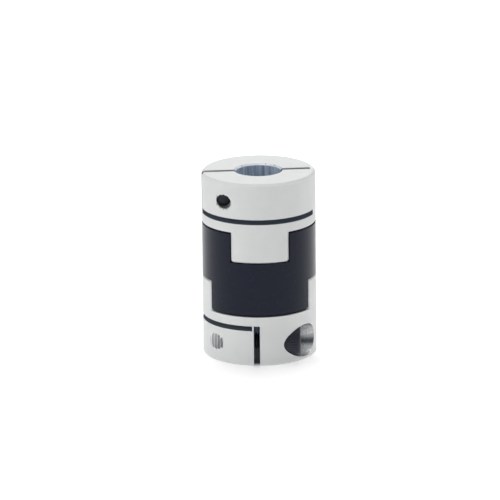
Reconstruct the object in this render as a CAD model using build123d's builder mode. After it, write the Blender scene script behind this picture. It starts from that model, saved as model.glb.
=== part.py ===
from build123d import *
import math
import os

# Clamp-type Oldham coupling. Millimetres, +Z up, origin at the centre of the lower outer face.

# Overall
outer_diameter = 20.0
overall_length = 33.0
bore_diameter = 8.0

# Hub, heights measured from its outer face
flange_top = 8.9
tongue_length = 5.4
tongue_width = 10.0
rim_chamfer = 0.4
bore_chamfer = 0.3
tongue_corner_round = 0.45
tongue_root_round = 0.15
tongue_end_chamfer = 0.25
tongue_side_chamfer = 0.25

# Centre disc
end_play = 0.1
slot_side_clearance = 0.03
disc_edge_chamfer = 0.3
disc_hole_diameter = 9.0

# Clamp slits: the narrow one lies in a plane through the axis, the cross slit frees the clamp arm
slit_width = 1.1
slit_turn = 4.0
relief_reach = 9.1
cross_slit_bottom = 6.4
cross_slit_height = 0.9
saw_radius = 25.0
saw_reach = -0.35
saw_offset = -2.4

# Clamp screw, M3 x 10 socket head
screw_offset = 6.2
screw_height = 3.6
shoulder_reach = 4.0
counterbore_diameter = 5.9
clearance_hole_diameter = 3.4
screw_length = 10.0
screw_tip_chamfer = 0.12
head_diameter = 5.5
head_height = 3.0
head_rim_round = 0.45
head_seat_round = 0.12
hex_across_flats = 2.5
hex_depth = 1.5
hex_mouth_chamfer = 0.12
knurl_count = 40
knurl_depth = 0.1

# M3 x 0.5 thread, cut as separate rings so that the screw turns without advancing
thread_pitch = 0.5
flank_angle = 30.0
screw_root_radius = 1.17
screw_crest_radius = 1.47
screw_root_flat = 0.06
hole_crest_radius = 1.25
hole_root_radius = 1.53
flank_gap = 0.03

outer_radius = outer_diameter / 2
bore_radius = bore_diameter / 2
head_radius = head_diameter / 2
hub_length = flange_top + tongue_length
slit_top = cross_slit_bottom + cross_slit_height
flank_slope = math.tan(math.radians(flank_angle))
screw_ridge_half_width = (thread_pitch - screw_root_flat) / 2
hole_groove_half_width = (
    screw_ridge_half_width - (hole_crest_radius - screw_root_radius) * flank_slope + flank_gap
)
screw_axis = Axis((0, -screw_offset, screw_height), (1, 0, 0))
screw_plane = Plane((0, -screw_offset, screw_height), x_dir=(1, 0, 0), z_dir=(0, 0, 1))
shoulder_plane = Plane((shoulder_reach, -screw_offset, screw_height), x_dir=(0, 1, 0), z_dir=(1, 0, 0))
slit_plane = Plane.XY.rotated((0, 0, -slit_turn))

# Half a turn about this diagonal swaps the two ends and turns the tongue by a quarter
end_swap_axis = Axis((0, 0, overall_length / 2), (1, 1, 0))


def thread_rings(first, last, base_radius, tip_radius, base_half_width):
    """Outline points of one V ring on every half pitch between first and last, measured along the screw."""
    tip_half_width = base_half_width - abs(tip_radius - base_radius) * flank_slope
    ring_count = math.floor((last - first) / thread_pitch)
    points = []
    for ring in range(ring_count):
        centre = first + (ring + 0.5) * thread_pitch
        points.append((centre - base_half_width, base_radius))
        points.append((centre - tip_half_width, tip_radius))
        points.append((centre + tip_half_width, tip_radius))
        points.append((centre + base_half_width, base_radius))
    return points


# Hub: a turned blank, milled to a tongue, slit, drilled and tapped
with BuildPart() as lower_hub:
    with BuildSketch(Plane.XZ):
        with BuildLine():
            Polyline(
                (bore_radius + bore_chamfer, 0),
                (outer_radius - rim_chamfer, 0),
                (outer_radius, rim_chamfer),
                (outer_radius, hub_length - tongue_end_chamfer),
                (outer_radius - tongue_end_chamfer, hub_length),
                (bore_radius + bore_chamfer, hub_length),
                (bore_radius, hub_length - bore_chamfer),
                (bore_radius, bore_chamfer),
                close=True,
            )
        make_face()
    revolve(axis=Axis.Z)

    with BuildSketch(Plane.YZ) as tongue_section:
        with Locations((0, flange_top / 2)):
            Rectangle(outer_diameter, flange_top)
        with Locations((0, flange_top + tongue_length / 2)):
            Rectangle(tongue_width, tongue_length)
        tongue_corners = tongue_section.vertices().filter_by_position(
            Axis.X, -tongue_width / 2, tongue_width / 2
        )
        fillet(tongue_corners.group_by(Axis.Y)[-1], tongue_corner_round)
        fillet(tongue_corners.group_by(Axis.Y)[0], tongue_root_round)
    extrude(amount=outer_radius, both=True, mode=Mode.INTERSECT)

    tongue_sides = lower_hub.edges().filter_by(Axis.Z).group_by(Axis.Z)[-1]
    chamfer(tongue_sides, tongue_side_chamfer)

    # Clamp slit on one side of the bore and relief slit on the other, in one plane
    with BuildSketch(slit_plane):
        with Locations((0, relief_reach)):
            Rectangle(slit_width, relief_reach + outer_diameter, align=(Align.CENTER, Align.MAX))
    extrude(amount=slit_top, mode=Mode.SUBTRACT)

    # Cross slit, left by the round edge of a saw
    with BuildSketch(Plane.XY.offset(cross_slit_bottom)):
        with Locations((saw_reach - saw_radius, saw_offset)):
            Circle(saw_radius)
    extrude(amount=cross_slit_height, mode=Mode.SUBTRACT)

    # Fixed half: counterbore and clearance hole
    with BuildSketch(shoulder_plane):
        Circle(counterbore_diameter / 2)
    extrude(amount=outer_radius, mode=Mode.SUBTRACT)
    with BuildSketch(shoulder_plane):
        Circle(clearance_hole_diameter / 2)
    extrude(amount=-shoulder_reach, mode=Mode.SUBTRACT)

    # Free half: tapped hole
    with BuildSketch(screw_plane):
        with BuildLine():
            Polyline(
                (-outer_radius, 0),
                (-outer_radius, hole_crest_radius),
                *thread_rings(
                    -outer_radius,
                    -thread_pitch,
                    hole_crest_radius,
                    hole_root_radius,
                    hole_groove_half_width,
                ),
                (0, hole_crest_radius),
                (0, 0),
                close=True,
            )
        make_face()
    revolve(axis=screw_axis, mode=Mode.SUBTRACT)
lower_hub.part.label = "lower_hub"

# Clamp screw: shank, knurled head and hexagon socket
with BuildPart() as lower_clamp_screw:
    screw_tip = shoulder_reach - screw_length
    with BuildSketch(screw_plane):
        with BuildLine():
            Polyline(
                (screw_tip, 0),
                (screw_tip, screw_root_radius - screw_tip_chamfer),
                (screw_tip + screw_tip_chamfer, screw_root_radius),
                *thread_rings(
                    screw_tip + thread_pitch,
                    shoulder_reach - thread_pitch,
                    screw_root_radius,
                    screw_crest_radius,
                    screw_ridge_half_width,
                ),
                (shoulder_reach, screw_root_radius),
                (shoulder_reach, 0),
                close=True,
            )
        make_face()
    revolve(axis=screw_axis)

    with BuildSketch(shoulder_plane):
        Circle(head_radius)
    extrude(amount=head_height)
    head_rims = lower_clamp_screw.edges().filter_by(GeomType.CIRCLE).filter_by(
        lambda edge: math.isclose(edge.radius, head_radius)
    )
    fillet(head_rims.sort_by(Axis.X)[-1], head_rim_round)
    fillet(head_rims.sort_by(Axis.X)[0], head_seat_round)

    with BuildSketch(shoulder_plane.offset(head_height)):
        RegularPolygon(hex_across_flats / 2, 6, major_radius=False)
    extrude(amount=-hex_depth, mode=Mode.SUBTRACT)
    with BuildSketch(shoulder_plane.offset(head_height - hex_mouth_chamfer)):
        Circle(hex_across_flats / 2)
    with BuildSketch(shoulder_plane.offset(head_height)):
        Circle(hex_across_flats / 2 + 2 * hex_mouth_chamfer)
    loft(mode=Mode.SUBTRACT)

    with BuildSketch(shoulder_plane.offset(head_seat_round)):
        with PolarLocations(head_radius, knurl_count):
            Rectangle(math.sqrt(2) * knurl_depth, math.sqrt(2) * knurl_depth, rotation=45)
    extrude(amount=head_height - head_rim_round - head_seat_round, mode=Mode.SUBTRACT)
lower_clamp_screw.part.label = "lower_clamp_screw"

# Centre disc: its lower slot runs along X and its upper slot along Y
with BuildPart() as centre_disc:
    disc_bottom = flange_top + end_play
    disc_top = overall_length - disc_bottom
    slot_width = tongue_width + 2 * slot_side_clearance
    with BuildSketch(Plane.XY.offset(disc_bottom)):
        Circle(outer_radius)
        Circle(disc_hole_diameter / 2, mode=Mode.SUBTRACT)
    extrude(amount=disc_top - disc_bottom)
    with BuildSketch(Plane.XY.offset(disc_bottom)):
        Rectangle(2 * outer_diameter, slot_width)
    extrude(amount=tongue_length, mode=Mode.SUBTRACT)
    with BuildSketch(Plane.XY.offset(disc_top)):
        Rectangle(slot_width, 2 * outer_diameter)
    extrude(amount=-tongue_length, mode=Mode.SUBTRACT)
    end_edges = centre_disc.faces().filter_by(Plane.XY).group_by(Axis.Z)
    end_edges = [end_edges[0].edges(), end_edges[-1].edges()]
    slot_corners = centre_disc.edges().filter_by(lambda edge: math.isclose(edge.length, tongue_length))
    chamfer(end_edges + [slot_corners], disc_edge_chamfer)
centre_disc.part.label = "centre_disc"

# The other end is the same hub and the same screw, turned over
with BuildPart() as upper_hub:
    add(lower_hub.part.rotate(end_swap_axis, 180))
upper_hub.part.label = "upper_hub"

with BuildPart() as upper_clamp_screw:
    add(lower_clamp_screw.part.rotate(end_swap_axis, 180))
upper_clamp_screw.part.label = "upper_clamp_screw"

os.makedirs("parts", exist_ok=True)
for piece in (lower_hub, centre_disc, upper_hub, lower_clamp_screw, upper_clamp_screw):
    export_step(piece.part, f"parts/{piece.part.label}.step")
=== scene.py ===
import math

import bpy
from mathutils import Matrix, Vector


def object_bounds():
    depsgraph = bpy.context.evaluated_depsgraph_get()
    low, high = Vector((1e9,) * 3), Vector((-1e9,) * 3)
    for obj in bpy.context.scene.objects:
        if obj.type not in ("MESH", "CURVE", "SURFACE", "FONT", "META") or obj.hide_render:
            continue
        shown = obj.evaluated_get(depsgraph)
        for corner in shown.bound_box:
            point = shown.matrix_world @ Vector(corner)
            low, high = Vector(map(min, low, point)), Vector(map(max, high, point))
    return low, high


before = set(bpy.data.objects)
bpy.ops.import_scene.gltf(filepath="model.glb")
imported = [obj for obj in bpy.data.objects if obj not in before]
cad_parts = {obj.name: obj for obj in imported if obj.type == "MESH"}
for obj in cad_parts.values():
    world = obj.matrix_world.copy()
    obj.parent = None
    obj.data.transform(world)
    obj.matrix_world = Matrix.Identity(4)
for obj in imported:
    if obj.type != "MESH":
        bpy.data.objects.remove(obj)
cad_low, cad_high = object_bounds()
MM = 0.001

# Places that the finishes need, in the lower hub's own position
OVERALL_LENGTH = cad_high.z - cad_low.z
OBJECT_MIDDLE = (cad_low + cad_high) / 2
SKIN_RADIUS = 9.93 * MM
BORE_RADIUS = 4.0 * MM
BORE_EDGE_RADIUS = 4.3 * MM
BORE_MOUTH_DEPTH = 0.28 * MM
SCREW_OFFSET = 6.2 * MM
SCREW_HEIGHT = 3.6 * MM
SHOULDER_REACH = 4.0 * MM
COUNTERBORE_RADIUS = 2.95 * MM
CLEARANCE_RADIUS = 1.7 * MM
TAPPED_RADIUS = 1.53 * MM
TAPPED_REACH = 9.7 * MM
RELIEF_REACH = 9.1 * MM
SLIT_TURN = math.radians(4.0)
SLIT_HALF_WIDTH = 0.55 * MM
CROSS_SLIT_MIDDLE = 6.85 * MM
CROSS_SLIT_HALF_HEIGHT = 0.45 * MM

# Painted reflection on the counterbore's wall: a dark band around one height, and a bright foot below it
BAND_HEIGHT = 2.6 * MM
BAND_REACH = 1.5 * MM
BAND_CORE = 0.1 * MM
FOOT_START = 2.3 * MM
FOOT_FULL = 1.7 * MM

# Faint emission in the bore and the saw cuts, in place of light bounced inside them
INNER_GLOW_COLOUR = (0.36, 0.50, 0.66, 1)
INNER_GLOW = 0.032

# The floor, with a painted shadow under the object
FLOOR_GAP = 0.005 * MM
PATCH_RADIUS = 8.0 * MM
PATCH_SOFTNESS = 1.5 * MM
WHITE = (1, 1, 1, 1)


# ---------------------------------------------------------------- node helpers


class Nodes:
    """Short ways to add and join shader nodes in one material."""

    def __init__(self, name):
        self.material = bpy.data.materials.new(name)
        self.material.use_nodes = True
        self.tree = self.material.node_tree
        self.tree.nodes.clear()

    def add(self, kind, **settings):
        node = self.tree.nodes.new(kind)
        for key, value in settings.items():
            setattr(node, key, value)
        return node

    def feed(self, socket, value):
        """Joins value to socket if it is another node's output, and sets it otherwise."""
        if isinstance(value, bpy.types.NodeSocket):
            self.tree.links.new(value, socket)
        elif value is not None:
            socket.default_value = value

    def math(self, operation, a, b=None):
        node = self.add("ShaderNodeMath", operation=operation)
        self.feed(node.inputs[0], a)
        self.feed(node.inputs[1], b)
        return node.outputs[0]

    def combine(self, x, y, z):
        node = self.add("ShaderNodeCombineXYZ")
        for socket, value in zip(node.inputs, (x, y, z)):
            self.feed(socket, value)
        return node.outputs[0]

    def split(self, vector):
        node = self.add("ShaderNodeSeparateXYZ")
        self.feed(node.inputs[0], vector)
        return node.outputs

    def stretched(self, vector, scale):
        node = self.add("ShaderNodeVectorMath", operation="MULTIPLY")
        self.feed(node.inputs[0], vector)
        self.feed(node.inputs[1], scale)
        return node.outputs[0]

    def noise(self, vector, per_mm, detail=3.0, roughness=0.55):
        """Noise from 0 to 1 with about per_mm features in a millimetre."""
        node = self.add("ShaderNodeTexNoise")
        self.feed(node.inputs["Vector"], vector)
        node.inputs["Scale"].default_value = per_mm / MM
        node.inputs["Detail"].default_value = detail
        node.inputs["Roughness"].default_value = roughness
        return node.outputs["Fac"]

    def remap(self, value, low, high, to_low=0.0, to_high=1.0):
        node = self.add("ShaderNodeMapRange", clamp=True)
        for socket, number in zip(node.inputs, (value, low, high, to_low, to_high)):
            self.feed(socket, number)
        return node.outputs[0]

    def within(self, value, limit, soft=0.02 * MM):
        """1 while value is below limit, 0 from a little above it."""
        return self.remap(value, limit + soft, limit)

    def both(self, a, b):
        return self.math("MULTIPLY", a, b)

    def either(self, a, b):
        return self.math("MAXIMUM", a, b)

    def mix_colour(self, factor, a, b):
        node = self.add("ShaderNodeMix", data_type="RGBA")
        self.feed(node.inputs[0], factor)
        self.feed(node.inputs[6], a)
        self.feed(node.inputs[7], b)
        return node.outputs[2]

    def mix_value(self, factor, a, b):
        node = self.add("ShaderNodeMix", data_type="FLOAT")
        self.feed(node.inputs[0], factor)
        self.feed(node.inputs[2], a)
        self.feed(node.inputs[3], b)
        return node.outputs[0]

    def distance(self, a, b):
        squares = self.math("ADD", self.math("POWER", a, 2.0), self.math("POWER", b, 2.0))
        return self.math("SQRT", squares)

    def edges(self, radius):
        """1 on sharp edges, falling to 0 a radius away from them."""
        rounded = self.add("ShaderNodeBevel", samples=6)
        rounded.inputs["Radius"].default_value = radius
        flat = self.add("ShaderNodeNewGeometry")
        dot = self.add("ShaderNodeVectorMath", operation="DOT_PRODUCT")
        self.feed(dot.inputs[0], rounded.outputs[0])
        self.feed(dot.inputs[1], flat.outputs["Normal"])
        return self.remap(dot.outputs["Value"], 0.995, 0.93)

    def bump(self, height, depth):
        node = self.add("ShaderNodeBump")
        node.inputs["Strength"].default_value = 1.0
        node.inputs["Distance"].default_value = depth
        self.feed(node.inputs["Height"], height)
        return node.outputs[0]

    def finish(self, **inputs):
        shader = self.add("ShaderNodeBsdfPrincipled")
        for name, value in inputs.items():
            self.feed(shader.inputs[name.replace("_", " ")], value)
        output = self.add("ShaderNodeOutputMaterial")
        self.tree.links.new(shader.outputs[0], output.inputs[0])
        return self.material


def coordinates(nodes, turned_over):
    """Position in the lower hub's place.

    The upper hub is the same part, turned over about a diagonal."""
    here = nodes.add("ShaderNodeTexCoord").outputs["Object"]
    if not turned_over:
        return here
    x, y, z = nodes.split(here)
    return nodes.combine(y, x, nodes.math("SUBTRACT", OVERALL_LENGTH, z))


# ---------------------------------------------------------------- finishes


class HubMasks:
    """Distances from the bore's and the screw's axes, and masks from 0 to 1 of a hub's machined parts."""

    def __init__(self, nodes, x, y, z):
        self.from_bore = nodes.distance(x, y)
        self.from_screw = nodes.distance(
            nodes.math("ADD", y, SCREW_OFFSET), nodes.math("SUBTRACT", z, SCREW_HEIGHT)
        )
        self.in_bore = nodes.within(self.from_bore, BORE_EDGE_RADIUS)
        self.in_mouth = nodes.both(self.in_bore, nodes.within(z, BORE_MOUTH_DEPTH, 0.04 * MM))
        self.mask_screw_holes(nodes, x)
        self.mask_saw_cuts(nodes, x, y, z)
        self.machined = nodes.either(self.in_bore, self.in_holes)

    def mask_screw_holes(self, nodes, x):
        """The counterbore and clearance hole in the fixed half, and the tapped hole in the free one."""
        past_middle = nodes.remap(x, 0.0, 0.02 * MM)
        before_middle = nodes.remap(x, 0.0, -0.02 * MM)
        past_shoulder = nodes.remap(x, SHOULDER_REACH - 0.04 * MM, SHOULDER_REACH - 0.02 * MM)
        under_rim = nodes.within(self.from_bore, TAPPED_REACH)
        self.in_counterbore = nodes.both(nodes.within(self.from_screw, COUNTERBORE_RADIUS), past_shoulder)
        in_clearance = nodes.both(nodes.within(self.from_screw, CLEARANCE_RADIUS), past_middle)
        in_thread = nodes.both(nodes.within(self.from_screw, TAPPED_RADIUS), before_middle)
        self.in_tapped = nodes.both(in_thread, under_rim)
        self.in_holes = nodes.either(self.in_counterbore, nodes.either(in_clearance, self.in_tapped))

    def mask_saw_cuts(self, nodes, x, y, z):
        """The walls of the clamp slit, the relief slit and the cross slit, under the outer skin."""
        off_plane = nodes.math(
            "SUBTRACT",
            nodes.math("MULTIPLY", x, math.cos(SLIT_TURN)),
            nodes.math("MULTIPLY", y, math.sin(SLIT_TURN)),
        )
        in_slit = nodes.both(
            nodes.within(nodes.math("ABSOLUTE", off_plane), SLIT_HALF_WIDTH),
            nodes.within(z, CROSS_SLIT_MIDDLE + CROSS_SLIT_HALF_HEIGHT),
        )
        clamp_side = nodes.within(y, 0.0)
        in_slit = nodes.both(in_slit, nodes.either(nodes.within(self.from_bore, RELIEF_REACH), clamp_side))
        off_middle = nodes.math("ABSOLUTE", nodes.math("SUBTRACT", z, CROSS_SLIT_MIDDLE))
        in_cross_slit = nodes.within(off_middle, CROSS_SLIT_HALF_HEIGHT)
        outside_bore = nodes.remap(self.from_bore, BORE_RADIUS, BORE_RADIUS + 0.05 * MM)
        under_skin = nodes.within(self.from_bore, SKIN_RADIUS)
        above_face = nodes.remap(z, 0.05 * MM, 0.45 * MM)
        inside = nodes.both(above_face, nodes.both(under_skin, outside_bore))
        self.sawn = nodes.both(nodes.either(in_slit, in_cross_slit), inside)


def hub_finish(name, turned_over, thread_low, thread_high):
    """Fine blasted and anodised aluminium, machined metal in the bore and screw holes, with a painted
    reflection in the bore and counterbore, and painted shade in the saw cuts.

    thread_low and thread_high are the tapped hole's two greys; they differ between the hubs as painted light
    in the lower hub and painted shade in the upper hub."""
    nodes = Nodes(name)
    place = coordinates(nodes, turned_over)
    x, y, z = nodes.split(place)
    masks = HubMasks(nodes, x, y, z)

    cloud = nodes.noise(place, 0.35, detail=2.0)
    grain = nodes.noise(place, 9.0, detail=4.0, roughness=0.7)
    lathe = nodes.noise(nodes.combine(masks.from_bore, z, 0.0), 7.0, detail=2.0)
    streaks = nodes.noise(nodes.stretched(place, (1.0, 1.0, 0.04)), 1.8, detail=4.0, roughness=0.65)
    tool_marks = nodes.noise(nodes.combine(x, masks.from_screw, 0.0), 3.0, detail=2.0)
    mottle = nodes.noise(nodes.stretched(place, (0.6, 1.0, 1.0)), 3.5, detail=4.0, roughness=0.7)
    saw_marks = nodes.noise(nodes.stretched(place, (0.2, 1.0, 1.0)), 10.0, detail=3.0)
    edge = nodes.edges(0.09 * MM)

    blasted = nodes.mix_colour(cloud, (0.665, 0.675, 0.675, 1), (0.715, 0.725, 0.725, 1))
    # Machined metal; its bright bluish streaks in the bore are partly a painted reflection
    machined_and_painted_reflection = nodes.mix_colour(nodes.remap(streaks, 0.36, 0.64), (0.27, 0.34, 0.45, 1), (0.84, 0.91, 1.0, 1))
    machined_and_painted_reflection = nodes.mix_colour(masks.in_mouth, machined_and_painted_reflection, (0.80, 0.84, 0.90, 1))
    mottle_and_painted_reflection = nodes.mix_colour(
        nodes.remap(mottle, 0.3, 0.7), (0.34, 0.35, 0.37, 1), (0.74, 0.75, 0.76, 1)
    )
    # Painted reflection on the counterbore wall: a dark band, and a bright foot below it, laid over the
    # mottle
    from_band = nodes.math("ABSOLUTE", nodes.math("SUBTRACT", z, BAND_HEIGHT))
    painted_dark_band = nodes.remap(from_band, BAND_REACH, BAND_CORE, 0.0, 0.9)
    painted_bright_foot = nodes.remap(z, FOOT_START, FOOT_FULL, 0.0, 0.95)
    mottle_and_painted_reflection = nodes.mix_colour(painted_dark_band, mottle_and_painted_reflection, (0.075, 0.08, 0.10, 1))
    mottle_and_painted_reflection = nodes.mix_colour(painted_bright_foot, mottle_and_painted_reflection, (0.92, 0.93, 0.94, 1))
    thread = nodes.mix_colour(streaks, thread_low, thread_high)
    # The saw cuts' walls painted dark as shade, with faint saw marks
    saw_cut_painted_shade = nodes.mix_colour(saw_marks, (0.09, 0.10, 0.125, 1), (0.16, 0.175, 0.205, 1))

    colour = nodes.mix_colour(masks.machined, blasted, machined_and_painted_reflection)
    colour = nodes.mix_colour(masks.in_counterbore, colour, mottle_and_painted_reflection)
    colour = nodes.mix_colour(masks.in_tapped, colour, thread)
    # A painted highlight along the sharp edges: lighter colour there
    colour = nodes.mix_colour(nodes.math("MULTIPLY", edge, 0.5), colour, (0.88, 0.88, 0.89, 1))
    colour = nodes.mix_colour(masks.sawn, colour, saw_cut_painted_shade)

    blasted_roughness = nodes.remap(grain, 0.3, 0.7, 0.50, 0.62)
    cut_roughness = nodes.remap(streaks, 0.3, 0.7, 0.36, 0.24)
    roughness = nodes.mix_value(masks.machined, blasted_roughness, cut_roughness)
    roughness = nodes.mix_value(nodes.math("MULTIPLY", edge, 0.6), roughness, 0.3)
    metallic = nodes.mix_value(masks.machined, 0.2, 0.5)
    metallic = nodes.mix_value(masks.in_counterbore, metallic, 0.6)
    metallic = nodes.mix_value(nodes.either(masks.in_tapped, masks.sawn), metallic, 0.1)

    blasted_height = nodes.math("ADD", grain, nodes.math("MULTIPLY", lathe, 0.5))
    cut_height = nodes.math("ADD", streaks, nodes.math("MULTIPLY", tool_marks, masks.in_holes))
    cut_height = nodes.mix_value(masks.in_mouth, cut_height, 0.75)
    normal = nodes.bump(nodes.mix_value(masks.machined, blasted_height, cut_height), 0.010 * MM)
    glow = nodes.remap(nodes.either(masks.in_bore, masks.sawn), 0.0, 1.0, 0.0, INNER_GLOW)
    return nodes.finish(
        Base_Color=colour,
        Metallic=metallic,
        Roughness=roughness,
        Normal=normal,
        Emission_Color=INNER_GLOW_COLOUR,
        Emission_Strength=glow,
    )


def disc_finish(name):
    """Satin black acetal with a faint navy cast and fine turning marks."""
    nodes = Nodes(name)
    place = coordinates(nodes, False)
    x, y, z = nodes.split(place)
    from_axis = nodes.distance(x, y)
    lathe = nodes.noise(nodes.combine(from_axis, z, 0.0), 6.0, detail=3.0)
    cloud = nodes.noise(place, 0.5, detail=3.0)
    grain = nodes.noise(place, 12.0, detail=3.0)
    edge = nodes.edges(0.07 * MM)
    colour = nodes.mix_colour(cloud, (0.0015, 0.004, 0.016, 1), (0.0025, 0.006, 0.020, 1))
    colour = nodes.mix_colour(nodes.math("MULTIPLY", edge, 0.5), colour, (0.03, 0.033, 0.045, 1))
    roughness = nodes.remap(nodes.math("ADD", cloud, grain), 0.6, 1.4, 0.20, 0.30)
    height = nodes.math("ADD", nodes.math("MULTIPLY", lathe, 0.7), nodes.math("MULTIPLY", grain, 0.4))
    normal = nodes.bump(height, 0.006 * MM)
    return nodes.finish(Base_Color=colour, Roughness=roughness, Normal=normal, IOR=1.3)


def screw_finish(name):
    """Black oxide steel: an oily near-black with the steel showing faintly on the edges."""
    nodes = Nodes(name)
    place = coordinates(nodes, False)
    cloud = nodes.noise(place, 1.2, detail=4.0)
    grain = nodes.noise(place, 14.0, detail=3.0)
    edge = nodes.edges(0.05 * MM)
    colour = nodes.mix_colour(cloud, (0.008, 0.011, 0.022, 1), (0.016, 0.020, 0.036, 1))
    colour = nodes.mix_colour(nodes.math("MULTIPLY", edge, 0.35), colour, (0.16, 0.16, 0.17, 1))
    roughness = nodes.remap(cloud, 0.3, 0.7, 0.36, 0.5)
    normal = nodes.bump(grain, 0.004 * MM)
    return nodes.finish(Base_Color=colour, Metallic=0.2, Roughness=roughness, Normal=normal)


def paint(node_name, material):
    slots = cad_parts[node_name].data.materials
    slots.clear()
    slots.append(material)


# The tapped hole's greys: painted light in the lower hub's hole, painted shade in the upper hub's
thread_painted_light = ((0.55, 0.56, 0.56, 1), (0.95, 0.96, 0.96, 1))
thread_painted_shade = ((0.05, 0.055, 0.07, 1), (0.14, 0.15, 0.17, 1))
paint("lower_hub", hub_finish("lower_hub_aluminium", False, *thread_painted_light))
paint("upper_hub", hub_finish("upper_hub_aluminium", True, *thread_painted_shade))
paint("centre_disc", disc_finish("black_acetal"))
screw_steel = screw_finish("black_oxide_steel")
paint("lower_clamp_screw", screw_steel)
paint("upper_clamp_screw", screw_steel)


# ---------------------------------------------------------------- floor, light and camera


def make_floor(half_side):
    """A plain pale floor, glowing faintly, with a painted shadow under the object."""
    mesh = bpy.data.meshes.new("floor")
    height = cad_low.z - FLOOR_GAP
    turns = ((-1, -1), (1, -1), (1, 1), (-1, 1))
    mesh.from_pydata([(x * half_side, y * half_side, height) for x, y in turns], [], [(0, 1, 2, 3)])
    floor = bpy.data.objects.new("floor", mesh)
    bpy.context.scene.collection.objects.link(floor)
    nodes = Nodes("pale_floor")
    x, y, z = nodes.split(nodes.add("ShaderNodeTexCoord").outputs["Object"])
    # Painted shadow: the floor is dark and barely glows within a patch under the object
    shaded = nodes.within(nodes.distance(x, y), PATCH_RADIUS, PATCH_SOFTNESS)
    colour = nodes.mix_colour(shaded, (0.92, 0.92, 0.92, 1), (0.03, 0.035, 0.045, 1))
    glow = nodes.remap(shaded, 0.0, 1.0, 0.33, 0.016)
    mesh.materials.append(
        nodes.finish(Base_Color=colour, Roughness=0.8, Emission_Color=WHITE, Emission_Strength=glow)
    )


def make_softbox(name, place, size, watts):
    """A square area light at place, turned towards the object's middle."""
    light = bpy.data.lights.new(name, "AREA")
    light.shape = "SQUARE"
    light.size = size
    light.energy = watts
    box = bpy.data.objects.new(name, light)
    box.location = place
    box.rotation_euler = (OBJECT_MIDDLE - Vector(place)).to_track_quat("-Z", "Y").to_euler()
    bpy.context.scene.collection.objects.link(box)


def make_sky(strength):
    world = bpy.data.worlds.new("studio")
    world.use_nodes = True
    background = world.node_tree.nodes["Background"]
    background.inputs["Color"].default_value = WHITE
    background.inputs["Strength"].default_value = strength
    bpy.context.scene.world = world


def make_camera(azimuth, elevation, roll, distance, lens, aside, above):
    """A long lens looking at the object's middle from azimuth and elevation, in degrees.

    aside and above move the camera across its own view, which sets where the object stands in the picture."""
    data = bpy.data.cameras.new("camera")
    data.lens = lens
    data.sensor_width = 36.0
    data.clip_start = 0.01
    data.clip_end = 10.0
    camera = bpy.data.objects.new("camera", data)
    a, e = math.radians(azimuth), math.radians(elevation)
    back = Vector((math.sin(a) * math.cos(e), -math.cos(a) * math.cos(e), math.sin(e)))
    turn = (-back).to_track_quat("-Z", "Y") @ Matrix.Rotation(math.radians(roll), 3, "Z").to_quaternion()
    camera.rotation_mode = "QUATERNION"
    camera.rotation_quaternion = turn
    camera.location = OBJECT_MIDDLE + back * distance + turn @ Vector((aside, above, 0))
    bpy.context.scene.collection.objects.link(camera)
    bpy.context.scene.camera = camera


make_floor(2.0)
make_sky(0.40)
make_softbox("top_softbox", (0.0, 0.15, 0.43), 0.35, 1.5)
make_softbox("left_softbox", (-0.42, -0.2, 0.2), 0.3, 0.44)
make_softbox("right_softbox", (0.45, 0.2, 0.2), 0.3, 0.22)
make_camera(
    azimuth=-0.8,
    elevation=16.2,
    roll=-0.56,
    distance=1.0034,
    lens=410.5,
    aside=-1.62 * MM,
    above=1.76 * MM,
)

bpy.context.scene.view_settings.view_transform = "Standard"
